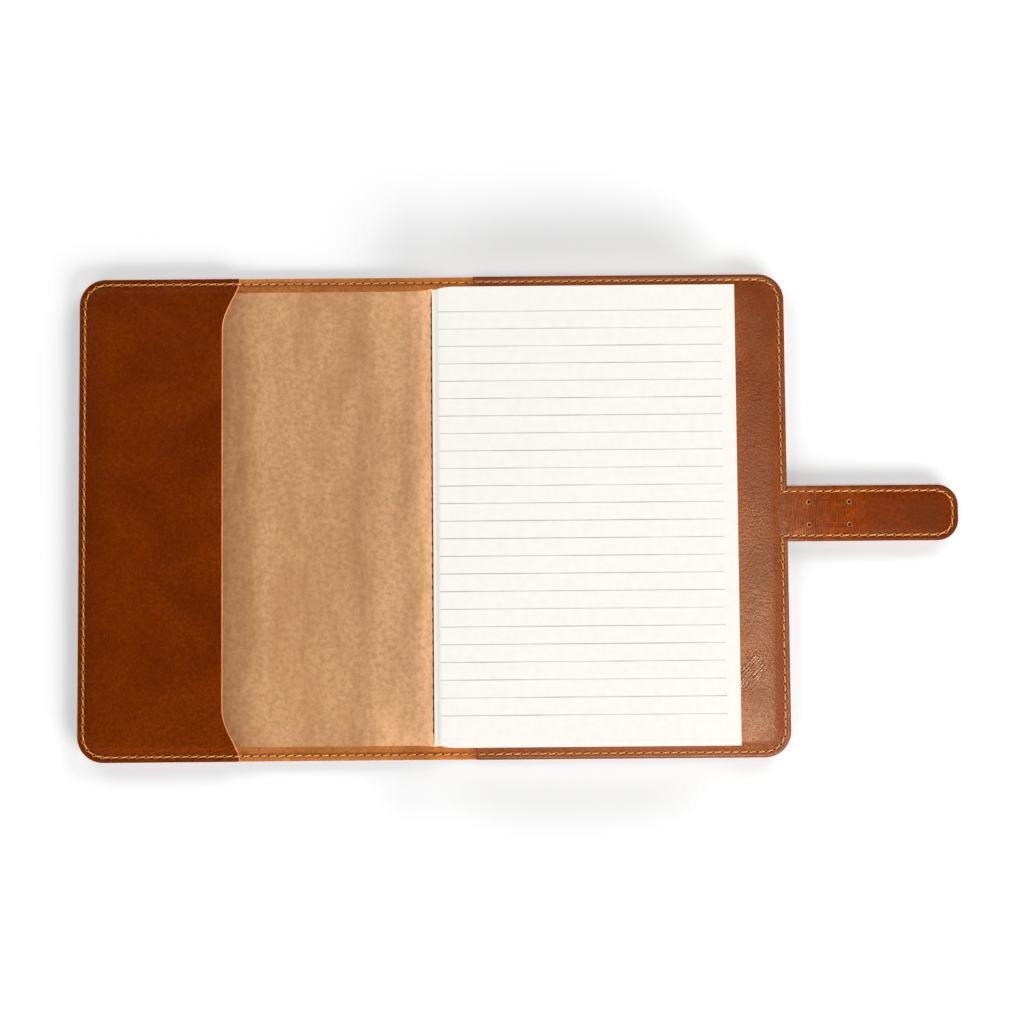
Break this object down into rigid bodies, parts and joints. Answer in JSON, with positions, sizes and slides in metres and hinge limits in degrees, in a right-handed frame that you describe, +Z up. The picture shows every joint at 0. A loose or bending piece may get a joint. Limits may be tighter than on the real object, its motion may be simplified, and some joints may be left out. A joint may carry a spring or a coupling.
{
  "type": "leather notebook cover",
  "caption": "Stitched leather notebook cover with two inner pockets and a wrap strap with a pen loop, lying open on a sewn ruled booklet.",
  "frame": {"origin": "middle of the spine, on the flat outer face that the open cover lies on", "axes": "+X across the open cover from the front cover to the strap, +Y from tail to head, +Z up from the outer leather to the pages"},
  "size_m": [0.4055, 0.223, 0.0124],
  "materials": {
    "cover_leather": "pull-up cognac leather, flesh side inwards",
    "pocket_leather": "smooth oiled brown leather",
    "strap_leather": "smooth oiled cognac leather",
    "waxed_thread": "waxed polyester thread, golden tan",
    "kraft_card": "uncoated kraft card",
    "ruled_paper": "uncoated cream paper with grey ruled lines",
    "binding_thread": "dark linen binding thread",
    "magnet_nickel": "nickel-plated disc magnet"
  },
  "bodies": {
    "back_cover": {"back_outer_leather": "cover_leather", "back_pocket_panel": "pocket_leather", "back_head_needle_thread": "waxed_thread", "back_head_bobbin_thread": "waxed_thread", "back_tail_needle_thread": "waxed_thread", "back_tail_bobbin_thread": "waxed_thread"},
    "spine": {"spine_leather": "cover_leather", "spine_head_needle_thread": "waxed_thread", "spine_head_bobbin_thread": "waxed_thread", "spine_tail_needle_thread": "waxed_thread", "spine_tail_bobbin_thread": "waxed_thread"},
    "front_cover": {"front_outer_leather": "cover_leather", "front_pocket_flap": "pocket_leather", "front_needle_thread": "waxed_thread", "front_bobbin_thread": "waxed_thread", "cover_magnet": "magnet_nickel", "magnet_keeper_patch": "pocket_leather"},
    "booklet": {"ruled_leaves": "ruled_paper", "first_ruled_leaf": "ruled_paper", "kraft_back_leaf": "kraft_card", "binding_thread": "binding_thread"},
    "front_leaf": {"kraft_front_leaf": "kraft_card"},
    "strap_bridge": {"strap_bridge_outer": "strap_leather", "strap_bridge_lining": "strap_leather", "strap_bridge_head_needle_thread": "waxed_thread", "strap_bridge_head_bobbin_thread": "waxed_thread", "strap_bridge_tail_needle_thread": "waxed_thread", "strap_bridge_tail_bobbin_thread": "waxed_thread"},
    "strap_tongue": {"strap_tongue_outer": "strap_leather", "strap_tongue_lining": "strap_leather", "strap_tongue_needle_thread": "waxed_thread", "strap_tongue_bobbin_thread": "waxed_thread", "strap_magnet": "magnet_nickel"}
  },
  "joints": [
    {"name": "cover_fold", "type": "hinge", "parent": "back_cover", "child": "spine", "pos_m": [0.007, 0, 0.0016], "axis": [0, 1, 0], "range_deg": [0, 90]},
    {"name": "front_cover_fold", "type": "hinge", "parent": "spine", "child": "front_cover", "pos_m": [-0.007, 0, 0.0016], "axis": [0, 1, 0], "range_deg": [0, 90]},
    {"name": "booklet_shift", "type": "slide", "parent": "back_cover", "child": "booklet", "axis": [1, 0, 0], "range_m": [0, 0.0076]},
    {"name": "front_leaf_turn", "type": "hinge", "parent": "booklet", "child": "front_leaf", "pos_m": [0, 0, 0.0086], "axis": [0, 1, 0], "range_deg": [0, 180]},
    {"name": "strap_root_fold", "type": "hinge", "parent": "back_cover", "child": "strap_bridge", "pos_m": [0.1644, 0, 0.0029], "axis": [0, -1, 0], "range_deg": [0, 90]},
    {"name": "strap_tongue_fold", "type": "hinge", "parent": "strap_bridge", "child": "strap_tongue", "pos_m": [0.1797, 0, 0.0029], "axis": [0, -1, 0], "range_deg": [0, 90]}
  ],
  "couplings": [
    {"joint": "cover_fold", "follows": "booklet_shift", "rad_per_m": 206.66},
    {"joint": "front_cover_fold", "follows": "booklet_shift", "rad_per_m": 206.66},
    {"joint": "front_leaf_turn", "follows": "booklet_shift", "rad_per_m": 413.32}
  ]
}
